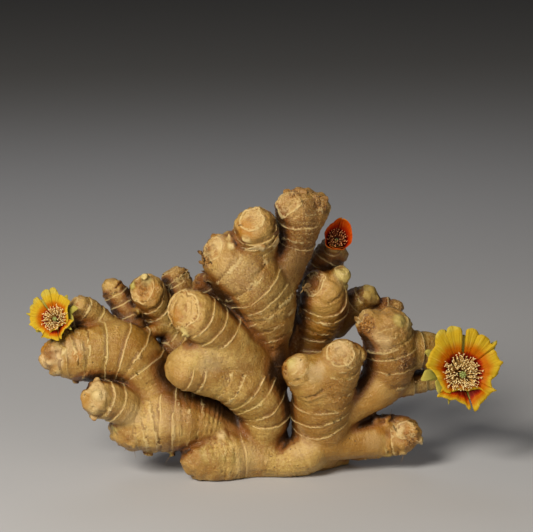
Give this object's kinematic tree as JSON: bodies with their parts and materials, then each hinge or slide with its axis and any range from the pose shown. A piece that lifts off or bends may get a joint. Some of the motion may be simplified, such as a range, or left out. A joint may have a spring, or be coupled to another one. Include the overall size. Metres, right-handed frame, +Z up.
{
  "type": "ginger root",
  "caption": "Upright hand of fresh ginger: thick ringed fingers fanning from a broad base, with open cactus-like blooms set on its fingertips. Stands on a flat cut foot.",
  "frame": {"origin": "middle of the part's outline seen from above, at the level of the floor that it stands on", "axes": "+Z up; +X to the viewer's right in the front view, along the spread of the hand; the front with the blooms' faces looks to -Y"},
  "size_m": [0.2381, 0.0744, 0.1481],
  "materials": {
    "ginger_skin": "thin golden-tan skin with a soft sheen and pale raised leaf scars",
    "petal_yellow": "matt silky petal, yellow outside and orange-red at the throat",
    "petal_red": "matt silky petal, dark red with orange tips",
    "stamen_cream": "matt pollen cream",
    "pistil_green": "matt fleshy green"
  },
  "bodies": {
    "root": {"rhizome": "ginger_skin", "right_bloom_petals": "petal_yellow", "right_bloom_stamens": "stamen_cream", "right_bloom_pistil": "pistil_green", "left_bloom_petals": "petal_yellow", "left_bloom_stamens": "stamen_cream", "left_bloom_pistil": "pistil_green", "top_bloom_petals": "petal_red", "top_bloom_stamens": "stamen_cream", "top_bloom_pistil": "pistil_green"}
  },
  "joints": []
}
